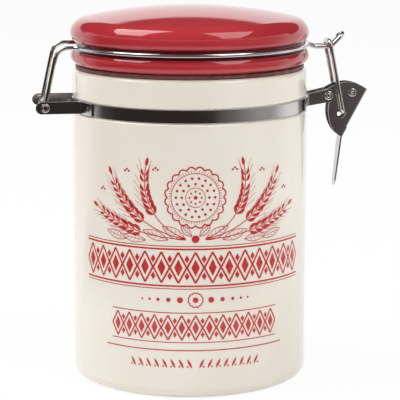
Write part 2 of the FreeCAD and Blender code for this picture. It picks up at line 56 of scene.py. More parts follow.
# %% Place the camera
CAMERA_DISTANCE = 1.0
CAMERA_HEIGHT = 0.280
CAMERA_DOWN = math.radians(10.58)
CAMERA_AROUND = math.radians(7.5)
CAMERA_AIM_RIGHT = math.radians(0.316)
CAMERA_LENS = 169.8
SENSOR_WIDTH = 36.0

bpy.context.scene.view_settings.view_transform = "Standard"
camera_data = bpy.data.cameras.new("portrait")
camera_data.lens = CAMERA_LENS
camera_data.sensor_width = SENSOR_WIDTH
camera = bpy.data.objects.new("portrait", camera_data)
camera.location = (
    -CAMERA_DISTANCE * math.sin(CAMERA_AROUND),
    -CAMERA_DISTANCE * math.cos(CAMERA_AROUND),
    CAMERA_HEIGHT,
)
camera.rotation_euler = (math.pi / 2 - CAMERA_DOWN, 0, -CAMERA_AROUND - CAMERA_AIM_RIGHT)
bpy.context.collection.objects.link(camera)
bpy.context.scene.camera = camera

# %% [markdown]
# Finishes are built from nodes. Writing shader maths as plain expressions keeps a finish short
# enough to read: Socket wraps one output, and +, -, * and / on it add the Math nodes.

# %% A small language for finishes
MIX_AMOUNT = 0
MIX_FIRST = 6
MIX_SECOND = 7
MIX_RESULT = 2


class Socket:
    """One output of a node, on which arithmetic adds Math nodes."""

    def __init__(self, finish, output):
        self.finish = finish
        self.output = output

    def _maths(self, operation, *values):
        return self.finish.node("ShaderNodeMath", {"operation": operation}, *values)

    def __add__(self, other):
        return self._maths("ADD", self, other)

    __radd__ = __add__

    def __sub__(self, other):
        return self._maths("SUBTRACT", self, other)

    def __rsub__(self, other):
        return self._maths("SUBTRACT", other, self)

    def __mul__(self, other):
        return self._maths("MULTIPLY", self, other)

    __rmul__ = __mul__

    def __truediv__(self, other):
        return self._maths("DIVIDE", self, other)

    def clamped(self, low, high):
        """The value kept between low and high and stretched to 0..1."""
        return self.finish.node(
            "ShaderNodeMapRange", {"interpolation_type": "SMOOTHSTEP"}, self, low, high, 0.0, 1.0
        )


class Finish:
    """A material with its Principled shader, and one method that adds any other node."""

    def __init__(self, name, **plain):
        self.material = bpy.data.materials.new(name)
        self.material.use_nodes = True
        self.tree = self.material.node_tree
        self.shader = self.tree.nodes["Principled BSDF"]
        for socket, value in plain.items():
            self.shader.inputs[socket.replace("_", " ")].default_value = value
        self.place = Socket(self, self.tree.nodes.new("ShaderNodeTexCoord").outputs["Object"])

    def node(self, kind, settings, *values, out=0):
        """Adds a node: its settings first, then a value or a link for each socket in turn."""
        made = self.tree.nodes.new(kind)
        for name, value in settings.items():
            setattr(made, name, value)
        for index, value in enumerate(values):
            if isinstance(value, Socket):
                self.tree.links.new(value.output, made.inputs[index])
            elif value is not None:
                made.inputs[index].default_value = value
        return Socket(self, made.outputs[out])

    def noise(self, scale, detail=2.0, stretch=None):
        """Soft random values of 0..1, so many to the metre, stretched along axes if asked."""
        place = self.place
        if stretch:
            place = self.node("ShaderNodeVectorMath", {"operation": "MULTIPLY"}, place, stretch)
        return self.node("ShaderNodeTexNoise", {}, place, None, scale, detail)

    def mix(self, amount, first, second):
        """A colour between two, by an amount of 0..1."""
        made = self.tree.nodes.new("ShaderNodeMix")
        made.data_type = "RGBA"
        made.clamp_factor = True
        for index, value in ((MIX_AMOUNT, amount), (MIX_FIRST, first), (MIX_SECOND, second)):
            if isinstance(value, Socket):
                self.tree.links.new(value.output, made.inputs[index])
            else:
                made.inputs[index].default_value = value
        return Socket(self, made.outputs[MIX_RESULT])

    def bump(self, height, strength, distance):
        """A normal that leans with a height, given in metres for a height of 1."""
        made = self.tree.nodes.new("ShaderNodeBump")
        made.inputs["Strength"].default_value = strength
        made.inputs["Distance"].default_value = distance
        self.tree.links.new(height.output, made.inputs["Height"])
        return Socket(self, made.outputs[0])

    def set(self, name, value):
        self.tree.links.new(value.output, self.shader.inputs[name])


def colour(red, green, blue):
    """A linear colour from the 0..255 values that a screen shows, by the sRGB curve."""
    screen = np.array([red, green, blue]) / 255
    linear = np.where(screen <= 0.04045, screen / 12.92, ((screen + 0.055) / 1.055) ** 2.4)
    return (*linear.tolist(), 1.0)


# %% [markdown]
# Both ceramics are dipped in a bright glaze. Glaze is never quite level: it lies in soft waves of
# a few centimetres, with smaller ripples on top, and its colour varies a little. The waves are a
# slight bump. The lid's groove under its upper roll is coloured darker by height: painted shade
# under the roll and the wire, with glaze pooled there as well.

# %% Glazes
CREAM = colour(236, 229, 217)
CREAM_DEEP = colour(229, 220, 206)
RED = colour(180, 50, 57)
RED_DEEP = colour(156, 33, 43)
# A darker red painted in the lid's groove: painted shade under the roll and wire, and pooled
# glaze.
RED_POOL_AND_SHADE = colour(104, 20, 28)
CREAM_WAVES = 0.0007
RED_WAVES = 0.0004
LID_GROOVE = 0.1775
LID_GROOVE_HALF = 0.0042
CLOUD_SHARE = 0.7
SPECK_SHARE = 0.3
POOL_AND_SHADE_CORE = 0.35
RIPPLE_SHARE = 0.06


def glaze(name, thin, deep, waves, pool_and_shade=None):
    """A glossy glaze that varies softly between two colours and lies in shallow waves.

    The last argument gives a groove's middle height, its half height and a darker colour painted
    there: painted shade under the lid's roll and wire, with glaze pooled there as well.
    """
    finish = Finish(name, Roughness=0.09, IOR=1.5, Coat_Weight=0.35, Coat_Roughness=0.04)
    cloud = finish.noise(scale=14.0, detail=3.0)
    speck = finish.noise(scale=900.0, detail=1.0)
    clouded = cloud.clamped(low=0.35, high=0.68) * CLOUD_SHARE
    tint = clouded + speck.clamped(low=0.62, high=0.8) * SPECK_SHARE
    skin = finish.mix(tint, thin, deep)
    # Painted shade: the groove is darkened towards its middle height, for the shade under the
    # lid's roll and wire and for pooled glaze.
    if pool_and_shade:
        middle, half, dark = pool_and_shade
        height = finish.node("ShaderNodeSeparateXYZ", {}, finish.place, out=2)
        off = finish.node("ShaderNodeMath", {"operation": "ABSOLUTE"}, height - middle)
        skin = finish.mix(1.0 - off.clamped(half * POOL_AND_SHADE_CORE, half), skin, dark)
    finish.set("Base Color", skin)
    finish.set("Roughness", speck * 0.04 + 0.04)
    ripples = finish.noise(scale=160.0, detail=1.0) * RIPPLE_SHARE
    level = finish.noise(scale=22.0, detail=1.0) + ripples
    finish.set("Normal", finish.bump(level, strength=1.0, distance=waves))
    return finish


cream_glaze = glaze("cream_glaze", CREAM, CREAM_DEEP, CREAM_WAVES)
red_glaze = glaze("red_glaze", RED, RED_DEEP, RED_WAVES, (LID_GROOVE, LID_GROOVE_HALF, RED_POOL_AND_SHADE))

# %% [markdown]
# The seal is a reddish brown rubber. It passes a little light and has a dull skin that picks up
# dust, so its roughness is high and its colour varies slightly.

# %% Seal
SEAL_DUSTY = colour(126, 80, 75)
SEAL_CLEAN = colour(104, 60, 56)
seal = Finish("seal_rubber", IOR=1.41, Subsurface_Weight=0.3, Subsurface_Scale=0.002)
seal_dust = seal.noise(scale=260.0, detail=3.0)
seal.set("Base Color", seal.mix(seal_dust.clamped(low=0.3, high=0.7), SEAL_DUSTY, SEAL_CLEAN))
seal.set("Roughness", seal_dust * 0.25 + 0.35)

# %% [markdown]
# Four finishes of steel: rolled strap with fine lines along it, drawn wire that is almost a
# mirror, the stamped lever and the plated rivets. The strap's lines run round the jar, so their
# noise is squeezed in height.

# %% Metals
LINE_RELIEF = 0.00002
SMEAR_DARK = 0.86
LINE_ROUGH = 0.10
SMEAR_ROUGH = 0.06
EVEN = (1.0, 1.0, 1.0)
ROUND_THE_JAR = (1.0, 1.0, 60.0)
DOWN_THE_LEVER = (8.0, 1.0, 1.0)


def steel(name, tone, rough, line_scale, stretch):
    """Bright metal whose shine is broken by fine marks, which a stretch draws out into lines."""
    finish = Finish(name, Metallic=1.0)
    lines = finish.noise(line_scale, 2.0, stretch)
    smear = finish.noise(scale=70.0, detail=2.0)
    smeared = (*(SMEAR_DARK * part for part in tone[:3]), 1.0)
    finish.set("Base Color", finish.mix(smear, tone, smeared))
    finish.set("Roughness", lines * LINE_ROUGH + smear * SMEAR_ROUGH + rough)
    finish.set("Normal", finish.bump(lines, strength=0.5, distance=LINE_RELIEF))
    return finish


band_steel = steel("band_steel", colour(214, 211, 209), 0.10, 40.0, ROUND_THE_JAR)
wire_chrome = steel("wire_chrome", colour(222, 220, 219), 0.07, 120.0, EVEN)
lever_steel = steel("lever_steel", colour(208, 206, 205), 0.12, 60.0, DOWN_THE_LEVER)
rivet_steel = steel("rivet_steel", colour(226, 223, 221), 0.12, 200.0, EVEN)

WEARS = {
    "jar_body": cream_glaze,
    "lid": red_glaze,
    "lid_gasket": seal,
    "neck_band": band_steel,
    "hinge_ear_front": band_steel,
    "hinge_ear_rear": band_steel,
    "hinge_eyelet_front": rivet_steel,
    "hinge_eyelet_rear": rivet_steel,
    "lid_wire": wire_chrome,
    "clasp_ear_front": band_steel,
    "clasp_ear_rear": band_steel,
    "pivot_rivet_front": rivet_steel,
    "pivot_rivet_rear": rivet_steel,
    "clasp_lever": lever_steel,
    "lever_cross_rivet": rivet_steel,
    "link_wire": wire_chrome,
}
for name, finish in WEARS.items():
    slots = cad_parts[name].material_slots
    for slot in slots:
        slot.material = finish.material
print("nodes finished:", len(WEARS))

# %% [markdown]
# A new piece is a mesh worked out in numpy. surface() takes a grid of points and makes the quads
# between neighbours, so a shape is one formula in two parameters.


# %% Meshes from formulas
def surface(name, points, finish, body, close_round=False):
    """A piece from a grid of points, rows by columns, whose columns may close into a ring."""
    rows, columns = points.shape[:2]
    index = np.arange(rows * columns).reshape(rows, columns)
    if close_round:
        index = np.concatenate([index, index[:, :1]], axis=1)
    quads = np.stack([index[:-1, :-1], index[:-1, 1:], index[1:, 1:], index[1:, :-1]], axis=-1)
    mesh = bpy.data.meshes.new(name)
    mesh.from_pydata(points.reshape(-1, 3).tolist(), [], quads.reshape(-1, 4).tolist())
    return dressed(name, mesh, finish, body)


def dressed(name, mesh, finish, body):
    """The object for a mesh: smooth, with its finish, riding on its body."""
    mesh.polygons.foreach_set("use_smooth", [True] * len(mesh.polygons))
    mesh.materials.append(finish.material)
    piece = bpy.data.objects.new(name, mesh)
    bpy.context.collection.objects.link(piece)
    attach(piece, body)
    return piece


# %% [markdown]
# Pressed sheet has no knife edges: the press and the tumbling barrel leave a radius of a tenth of
# a millimetre, and that radius is the bright line seen on every edge of the real clasp. Each
# bracket and the lever is a copy of its solid, with doubles merged and a narrow bevel added.

# %% Soft edges on sheet metal
EDGE_ROUND = 0.00012
SHARP = math.radians(32)
ALMOST_FLAT = math.radians(0.6)
SAME_POINT = 1e-6


def soft_edged(node, finish, body):
    """A copy of a solid with its sharp edges rounded, which stands for the solid."""
    shape = bmesh.new()
    shape.from_mesh(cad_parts[node].data)
    bmesh.ops.remove_doubles(shape, verts=shape.verts, dist=SAME_POINT)
    bmesh.ops.dissolve_limit(
        shape, angle_limit=ALMOST_FLAT, verts=shape.verts, edges=shape.edges
    )
    mesh = bpy.data.meshes.new(f"{node}_edged")
    shape.to_mesh(mesh)
    shape.free()
    mesh.materials.clear()
    piece = dressed(f"{node}_edged", mesh, finish, body)
    mesh.set_sharp_from_angle(angle=SHARP)
    bevel = piece.modifiers.new("edge_round", "BEVEL")
    bevel.width = EDGE_ROUND
    bevel.segments = 2
    bevel.limit_method = "ANGLE"
    bevel.angle_limit = SHARP
    bevel.harden_normals = True
    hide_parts(node)
    return piece


for side in ("front", "rear"):
    soft_edged(f"hinge_ear_{side}", band_steel, "jar")
    soft_edged(f"clasp_ear_{side}", band_steel, "jar")
soft_edged("clasp_lever", lever_steel, "lever")

# %% [markdown]
# Eyelets and tubular rivets are rolled over at their ends, so each end is half of a small ring.
# The profile is a closed line of (radius, distance across), carried once round the rivet's axis.

# %% Rolled eyelets and rivets
SHEET = 0.8
HINGE_EAR_FACE = 18.0
CLASP_EAR_FACE = 4.8
LEVER_HALF_WIDTH = 4.5
SEAT_GAP = 0.02
RUNNING_GAP = 0.1
HINGE = (-78.0, 147.0)
PIVOT = (74.5, 149.3)
CROSS = (87.6, 150.6)
EYELET_RIM = 2.35
EYELET_BORE = 1.15
EYELET_SHANK = 1.75
PIVOT_INNER_RIM = 2.2
PIVOT_OUTER_RIM = 2.4
PIVOT_BORE = 0.75
CROSS_RIM = 2.2
CROSS_BORE = 0.45
RIVET_SHANK = 1.5
ROLL = 0.4
PIVOT_OUTER_ROLL = 0.5
ROLL_STEPS = 15
TURN_STEPS = 40
SEAM = 1e-7
ROLL_SHARP = math.radians(50)


def rolled_end(bore, rim, plate, height):
    """Half an ellipse from the bore to the rim, standing off a plate by a height."""
    t = np.linspace(math.pi, 0, ROLL_STEPS)
    middle, half = (bore + rim) / 2, (rim - bore) / 2
    return np.stack([middle + half * np.cos(t), plate + height * np.sin(t)], axis=1)


def fastener(name, node, at, near, far, bore, shank, body):
    """A rivet turned about an axis along Y: rolled near end, shank, rolled far end, bore.

    near and far are (rim radius, plate, height), where a near end stands off towards -Y.
    """
    first = rolled_end(bore, near[0], near[1], -near[2])
    last = rolled_end(bore, far[0], far[1], far[2])[::-1]
    grips = np.array([[shank, near[1]], [shank, far[1]]])
    profile = np.concatenate([first, grips, last, first[:1]])
    t = np.linspace(0, 2 * np.pi, TURN_STEPS, endpoint=False)
    radius, across = profile[:, 0][:, None], profile[:, 1][:, None]
    grid = np.stack(
        [at[0] + radius * np.cos(t), across + 0 * t, at[1] + radius * np.sin(t)], axis=-1
    ) * MM
    piece = surface(name, grid, rivet_steel, body, close_round=True)
    outward(piece)
    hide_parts(node)
    return piece


def outward(piece):
    """Turns all faces of a closed piece outwards, after its seam is merged."""
    shape = bmesh.new()
    shape.from_mesh(piece.data)
    bmesh.ops.remove_doubles(shape, verts=shape.verts, dist=SEAM)
    bmesh.ops.recalc_face_normals(shape, faces=shape.faces)
    shape.to_mesh(piece.data)
    shape.free()
    piece.data.set_sharp_from_angle(angle=ROLL_SHARP)


for side, hand in (("front", -1), ("rear", 1)):
    inner = hand * (HINGE_EAR_FACE - SEAT_GAP)
    outer = hand * (HINGE_EAR_FACE + SHEET + SEAT_GAP)
    ends = ((EYELET_RIM, inner, ROLL), (EYELET_RIM, outer, ROLL))
    near, far = ends if hand > 0 else ends[::-1]
    node = f"hinge_eyelet_{side}"
    fastener(f"{node}_rolled", node, HINGE, near, far, EYELET_BORE, EYELET_SHANK, "jar")
    inner = hand * (LEVER_HALF_WIDTH - SHEET - RUNNING_GAP)
    outer = hand * (CLASP_EAR_FACE + SHEET + SEAT_GAP)
    ends = ((PIVOT_INNER_RIM, inner, ROLL), (PIVOT_OUTER_RIM, outer, PIVOT_OUTER_ROLL))
    near, far = ends if hand > 0 else ends[::-1]
    node = f"pivot_rivet_{side}"
    fastener(f"{node}_rolled", node, PIVOT, near, far, PIVOT_BORE, RIVET_SHANK, "jar")
outer = LEVER_HALF_WIDTH + SEAT_GAP
near, far = (CROSS_RIM, -outer, ROLL), (CROSS_RIM, outer, ROLL)
node = "lever_cross_rivet"
fastener(f"{node}_rolled", node, CROSS, near, far, CROSS_BORE, RIVET_SHANK, "lever")

# %% [markdown]
# The front carries a one-colour red transfer print. It is a film a few hundredths of a millimetre
# thick, fired into the glaze. Here it is a mesh just proud of the wall: each stroke is a ribbon
# drawn on a flat sheet, as an engraver would, and the whole sheet is then wrapped on the wall.
# The design is a plain stock pattern of wheat sprays, a biscuit and bands of lozenges.

# %% The flat sheet of the print
PRINT_CENTRE = math.radians(-94.8)
WALL_RADIUS = 62.5
PRINT_PROUD = 0.05
CURVE_STEPS = 30
LEAF_STEPS = 13
LEAF_TIP = 0.02
LEAF_BLUNT = 0.75
LOZENGE_STEPS = 15
SIDE_STEPS = 6
DOT_STEPS = 17
DOT_SHARES = (1.0, 0.66, 0.33, 0.02)
HAIR = 0.05
THIN_STROKE = 1.2
THIN_COLUMNS = 2
WIDE_COLUMNS = 7
MIDRIB_LENGTH = 0.85
MIDRIB_PEN = 0.7
VEINS = (0.25, 0.42, 0.59, 0.74)
VEIN_SHIFT = 0.06
VEIN_REACH = 0.8
VEIN_LEAN = 0.1
VEIN_PEN = 0.45


def ribbon(along, width):
    """A stroke: a path of (across, up) points in mm, with a width at each point.

    A point of the ribbon is its path's point, moved along the path's normal by a share of the
    width from -1/2 to 1/2. A wide stroke has more points across, so that it can wrap the wall.
    """
    along = np.asarray(along, float)
    width = np.broadcast_to(np.asarray(width, float), len(along))
    heading = np.gradient(along, axis=0)
    heading /= np.linalg.norm(heading, axis=1, keepdims=True) + 1e-12
    normal = np.stack([-heading[:, 1], heading[:, 0]], axis=1)
    across = np.linspace(-0.5, 0.5, THIN_COLUMNS if width.max() < THIN_STROKE else WIDE_COLUMNS)
    return along[:, None] + normal[:, None] * width[:, None, None] * across[None, :, None]


def leaf(base, tip, fat, bow=0.0):
    """A filled leaf or grain: a ribbon whose width rises and falls as a sine from base to tip."""
    t = np.linspace(0, 1, LEAF_STEPS)[:, None]
    base, tip = np.asarray(base, float), np.asarray(tip, float)
    run = tip - base
    side = np.array([-run[1], run[0]])
    path = base + run * t + side * bow * np.sin(np.pi * t)
    along = np.clip(t[:, 0], LEAF_TIP, 1 - LEAF_TIP)
    return ribbon(path, fat * np.sin(np.pi * along) ** LEAF_BLUNT)


def open_leaf(base, tip, fat, pen):
    """An open leaf: two bowed strokes that meet at both ends, a midrib and short veins."""
    t = np.linspace(0, 1, LEAF_STEPS)[:, None]
    base, tip = np.asarray(base, float), np.asarray(tip, float)
    run = tip - base
    side = np.array([-run[1], run[0]]) / np.linalg.norm(run)
    swell = side * np.sin(np.pi * t) * fat / 2
    shapes = [
        ribbon(base + run * t + swell, pen),
        ribbon(base + run * t - swell, pen),
        ribbon(base + run * t * MIDRIB_LENGTH, pen * MIDRIB_PEN),
    ]
    for part in VEINS:
        root = base + run * part
        reach = fat / 2 * math.sin(math.pi * (part + VEIN_SHIFT)) * VEIN_REACH
        for hand in (-1, 1):
            end = root + run * VEIN_LEAN + side * hand * reach
            shapes.append(ribbon([root, (root + end) / 2, end], pen * VEIN_PEN))
    return shapes


def ring(centre, radius, pen, scallops=0, depth=0.0):
    """A round stroke, whose radius can rise and fall to make a scalloped edge."""
    t = np.linspace(0, 2 * np.pi, max(CURVE_STEPS, scallops * 10) * 2 + 1)
    reach = radius + depth * np.abs(np.sin(t * scallops / 2)) if scallops else radius + 0 * t
    path = np.stack([centre[0] + reach * np.cos(t), centre[1] + reach * np.sin(t)], axis=1)
    return ribbon(path, pen)


def dot(centre, radius):
    """A filled spot: rings of points from its edge inwards."""
    t = np.linspace(0, 2 * np.pi, DOT_STEPS)
    edge = np.stack([centre[0] + radius * np.cos(t), centre[1] + radius * np.sin(t)], axis=1)
    share = np.array(DOT_SHARES)
    return centre + (edge - centre)[:, None] * share[None, :, None]


def lozenge(centre, wide, tall):
    """A filled lozenge: a ribbon whose width grows to the middle and shrinks again."""
    rise = np.linspace(-1, 1, LOZENGE_STEPS)
    path = np.stack([np.full(LOZENGE_STEPS, centre[0]), centre[1] + rise * tall / 2], axis=1)
    return ribbon(path, HAIR + wide * (1 - np.abs(rise)))


def open_lozenge(centre, wide, tall, pen):
    """A lozenge drawn by four straight strokes."""
    x, z = centre
    tips = [(x, z - tall / 2), (x + wide / 2, z), (x, z + tall / 2), (x - wide / 2, z)]
    t = np.linspace(0, 1, SIDE_STEPS)[:, None]
    pairs = zip(tips, tips[1:] + tips[:1])
    return [ribbon(np.array(a) * (1 - t) + np.array(b) * t, pen) for a, b in pairs]


# %% Both halves of the design
strokes = []


def both_sides(shape):
    """The stroke and its mirror image across the middle of the print."""
    strokes.append(shape)
    strokes.append(shape[:, ::-1] * np.array([-1.0, 1.0]))


# %% [markdown]
# A wheat ear grows from a stem that turns steadily. Its grains sit in pairs from just under half
# way up, each smaller than the last and splayed from the stem, with a fine beard beyond each.

# %% Wheat sprays
PEN = 0.5
WHEAT_FOOT = np.array([3.5, 84.5])
FIRST_GRAIN = 0.46
GRAINS_RUN = 0.52
GRAIN_LENGTH = 5.0
GRAIN_SHRINK = 0.3
GRAIN_OFF_STEM = 0.4
GRAIN_SPLAY = 0.42
GRAIN_FAT = 0.38
GRAIN_BOW = -0.10
TOP_GRAIN_FAT = 1.9
BEARD_LENGTH = 1.3
BEARD_SPLAY = 0.45
BEARD_PEN = 0.22


def wheat(lean, length, curl, grains):
    """A wheat ear: lean and curl are angles, length is the stem's, grains counts the pairs."""
    t = np.linspace(0, 1, CURVE_STEPS)
    turn = lean + curl * t
    step = length / (CURVE_STEPS - 1)
    path = np.cumsum(np.stack([np.sin(turn), np.cos(turn)], axis=1) * step, axis=0) + WHEAT_FOOT
    both_sides(ribbon(path, PEN))
    for grain in range(grains):
        where = int((FIRST_GRAIN + GRAINS_RUN * grain / grains) * (CURVE_STEPS - 1))
        ahead = np.array([math.sin(turn[where]), math.cos(turn[where])])
        side = np.array([ahead[1], -ahead[0]])
        size = GRAIN_LENGTH * (1 - GRAIN_SHRINK * grain / grains)
        for hand in (-1, 1):
            start = path[where] + side * hand * GRAIN_OFF_STEM
            tip = start + ahead * size + side * hand * size * GRAIN_SPLAY
            both_sides(leaf(start, tip, size * GRAIN_FAT, hand * GRAIN_BOW))
            beard = tip + ahead * size * BEARD_LENGTH + side * hand * size * BEARD_SPLAY
            both_sides(ribbon(np.linspace(tip, beard, SIDE_STEPS), BEARD_PEN))
    ahead = np.array([math.sin(turn[-1]), math.cos(turn[-1])])
    both_sides(leaf(path[-1], path[-1] + ahead * GRAIN_LENGTH, TOP_GRAIN_FAT))


for lean, length, curl, grains in ((74, 46, -86, 7), (82, 53, -56, 8), (89, 53, -26, 8)):
    wheat(math.radians(lean), length, math.radians(curl), grains)

# %% Biscuit with its pricked holes
BISCUIT = np.array([0.0, 106.0])
TICKS = 60
TICK_RADII = (12.5, 13.2, 13.9)
TICK_PEN = 0.25

strokes.append(ring(BISCUIT, radius=14.4, pen=0.75, scallops=20, depth=1.4))
strokes.append(ring(BISCUIT, radius=12.4, pen=0.35))
strokes.append(ring(BISCUIT, radius=5.0, pen=0.35))
for count, distance, size in ((1, 0.0, 1.0), (8, 3.1, 0.55), (12, 7.0, 0.7), (18, 10.0, 0.7)):
    for spot in range(count):
        angle = 2 * math.pi * spot / count
        away = np.array([math.cos(angle), math.sin(angle)])
        strokes.append(dot(BISCUIT + distance * away, size))
for spot in range(TICKS):
    angle = 2 * math.pi * (spot + 0.5) / TICKS
    away = np.array([math.cos(angle), math.sin(angle)])
    strokes.append(ribbon([BISCUIT + away * radius for radius in TICK_RADII], TICK_PEN))

# %% Leaves and groups of dots
LEAF_PEN = 0.38
TRIO_STEP = 1.2
TRIO_RISE = 0.9
TRIO_DOT = 0.6

for base, tip, fat in (
    ((5.0, 84.2), (17.0, 91.0), 5.0),
    ((14.0, 84.0), (27.5, 88.5), 4.8),
    ((26.0, 83.4), (39.0, 84.8), 4.4),
    ((37.0, 83.2), (49.5, 86.5), 4.2),
    ((2.0, 86.0), (7.5, 91.5), 3.4),
):
    for shape in open_leaf(base, tip, fat, LEAF_PEN):
        both_sides(shape)
strokes.append(dot(np.array([0.0, 84.6]), radius=2.0))
for reach, up in ((20.5, 120.0), (36.5, 118.5), (52.5, 107.5)):
    for step in (-TRIO_STEP, 0.0, TRIO_STEP):
        both_sides(dot(np.array([reach + step, up + TRIO_RISE * (step == 0.0)]), TRIO_DOT))

# %% Rules and rows of lozenges
RULE_STEPS = 60
INNER_WIDE = 0.5
INNER_TALL = 0.56
BETWEEN_UP = 0.28
BETWEEN_WIDE = 0.3
BETWEEN_TALL = 0.26


def rule(height, reach, pen):
    """A level line across the print."""
    path = np.stack([np.linspace(-reach, reach, RULE_STEPS), np.full(RULE_STEPS, height)], axis=1)
    strokes.append(ribbon(path, pen))


def row_of_lozenges(height, reach, tall, wide, count, pen):
    """Open lozenges with a filled one inside each, and two small ones between neighbours."""
    for place in np.linspace(-reach, reach, count):
        strokes.extend(open_lozenge((place, height), wide, tall, pen))
        strokes.append(lozenge((place, height), wide * INNER_WIDE, tall * INNER_TALL))
    for place in np.linspace(-reach, reach, 2 * count - 1)[1::2]:
        for up in (-1, 1):
            middle = (place, height + up * tall * BETWEEN_UP)
            strokes.append(lozenge(middle, wide * BETWEEN_WIDE, tall * BETWEEN_TALL))


rule(height=80.8, reach=66.0, pen=0.45)
rule(height=79.3, reach=66.0, pen=0.9)
row_of_lozenges(height=69.7, reach=61.6, tall=16.0, wide=8.6, count=15, pen=1.0)
rule(height=60.1, reach=66.0, pen=0.9)
rule(height=58.6, reach=66.0, pen=0.45)

ROSETTE = np.array([0.0, 52.8])
for reach, size in ((8.0, 1.6), (14.0, 1.2), (19.5, 0.9), (24.0, 0.7), (28.0, 0.55)):
    both_sides(dot(np.array([reach, ROSETTE[1]]), size))
strokes.append(ring(ROSETTE, radius=3.4, pen=0.6, scallops=12, depth=0.5))
strokes.append(dot(ROSETTE, radius=1.5))

row_of_lozenges(height=38.2, reach=42.8, tall=13.0, wide=6.9, count=13, pen=0.85)
rule(height=46.0, reach=46.4, pen=0.5)
rule(height=30.4, reach=46.4, pen=0.5)
rule(height=26.2, reach=50.5, pen=0.6)

SPRIG_FOOT = 16.8
SPRIG_TOP = 21.6
SPRIG_LEAN = 2.4
SPRIG_FAT = 1.3
SPRIG_DOT = 0.5
SPRIG_DOT_RIGHT = 2.2
SPRIG_DOT_UP = 17.6
for place in np.linspace(1.9, 32.0, 8):
    both_sides(leaf((place, SPRIG_FOOT), (place + SPRIG_LEAN, SPRIG_TOP), SPRIG_FAT))
    both_sides(dot(np.array([place + SPRIG_DOT_RIGHT, SPRIG_DOT_UP]), SPRIG_DOT))
print("strokes of the print:", len(strokes))

# %% [markdown]
# Wrapping is one formula on all points at once: the distance across becomes an angle round the
# wall, and the height stays. Thin strokes become many short quads, so the film follows the curve.

# %% Wrap the sheet on the wall
points = []
faces = []
count = 0
for stroke in strokes:
    points.append(stroke.reshape(-1, 2))
    index = count + np.arange(stroke.shape[0] * stroke.shape[1]).reshape(stroke.shape[:2])
    quad = np.stack([index[:-1, :-1], index[:-1, 1:], index[1:, 1:], index[1:, :-1]], axis=-1)
    faces.append(quad.reshape(-1, 4))
    count += index.size
flat = np.concatenate(points)
faces = np.concatenate(faces)
corners = flat[faces]
turns = np.cross(corners[:, 2] - corners[:, 0], corners[:, 3] - corners[:, 1])
faces[turns < 0] = faces[turns < 0][:, ::-1]
angle = PRINT_CENTRE + flat[:, 0] / WALL_RADIUS
reach = WALL_RADIUS + PRINT_PROUD
wrapped = np.stack([reach * np.cos(angle), reach * np.sin(angle), flat[:, 1]], axis=1) * MM

print_red = Finish("print_red", Roughness=0.22, IOR=1.5, Coat_Weight=0.3, Coat_Roughness=0.06)
PRINT_DEEP = colour(190, 38, 42)
PRINT_THIN = colour(200, 62, 62)
ink = print_red.noise(scale=420.0, detail=2.0)
print_red.set("Base Color", print_red.mix(ink.clamped(low=0.4, high=0.75), PRINT_DEEP, PRINT_THIN))
print_mesh = bpy.data.meshes.new("front_print")
print_mesh.from_pydata(wrapped.tolist(), [], faces.tolist())
dressed("front_print", print_mesh, print_red, "jar")
print("print quads:", len(faces))

# %% [markdown]
# Each bracket is spot-welded to the band. The electrode leaves a shallow round dimple with a
# raised lip, so a weld is a small disc turned from that profile and laid on the bracket's foot.

# %% Spot welds
FOOT_OUTER = 62.77
WELD_RADIUS = 1.5
BAND_MIDDLE = 147.0
HINGE_WELD_ANGLE = 25.5
CLASP_WELD_ANGLE = 18.5
LIP_HEIGHT = 0.13
LIP_AT = 0.72
LIP_SPREAD = 0.16
WELD_LIFT = 0.02


def spot_weld(name, around):
    """A dimple on the foot: radius from 0 to 1, height a low ring that dips in the middle."""
    r = np.linspace(0.01, 1, 12)[:, None]
    t = np.linspace(0, 2 * np.pi, 32, endpoint=False)[None, :]
    lift = LIP_HEIGHT * np.exp(-(((r - LIP_AT) / LIP_SPREAD) ** 2)) + WELD_LIFT
    across = WELD_RADIUS * r * np.cos(t)
    up = WELD_RADIUS * r * np.sin(t)
    out = FOOT_OUTER + lift + 0 * t
    angle = math.radians(around) + across / FOOT_OUTER
    grid = np.stack([out * np.cos(angle), out * np.sin(angle), BAND_MIDDLE + up], axis=-1) * MM
    return surface(name, grid, rivet_steel, "jar", close_round=True)


for side, hand in (("front", -1), ("rear", 1)):
    spot_weld(f"hinge_weld_{side}", 180 - hand * HINGE_WELD_ANGLE)
    spot_weld(f"clasp_weld_{side}", hand * CLASP_WELD_ANGLE)

# %% [markdown]
# The jar stands on a plain pale floor in a white room. The camera and shiny surfaces see the
# floor as almost white, with the jar's soft shadow showing faintly through.

# %% Floor and room
SPREAD = 6.0
FLOOR_WHITE = 0.92
floor_mesh = bpy.data.meshes.new("floor")
floor_mesh.from_pydata(
    [(-SPREAD, -SPREAD, 0), (SPREAD, -SPREAD, 0), (SPREAD, SPREAD, 0), (-SPREAD, SPREAD, 0)],
    [],
    [(0, 1, 2, 3)],
)
floor = bpy.data.objects.new("floor", floor_mesh)
bpy.context.collection.objects.link(floor)
floor_finish = Finish("floor_paper", Base_Color=(0.93, 0.93, 0.93, 1.0), Roughness=0.6)
tree = floor_finish.tree
eye = Socket(floor_finish, tree.nodes.new("ShaderNodeLightPath").outputs["Is Camera Ray"])
mirror = Socket(floor_finish, tree.nodes["Light Path"].outputs["Is Glossy Ray"])
glow = tree.nodes.new("ShaderNodeEmission")
blend = tree.nodes.new("ShaderNodeMixShader")
tree.links.new(((eye + mirror) * FLOOR_WHITE).output, blend.inputs[0])
tree.links.new(floor_finish.shader.outputs[0], blend.inputs[1])
tree.links.new(glow.outputs[0], blend.inputs[2])
tree.links.new(blend.outputs[0], tree.nodes["Material Output"].inputs["Surface"])
floor_mesh.materials.append(floor_finish.material)

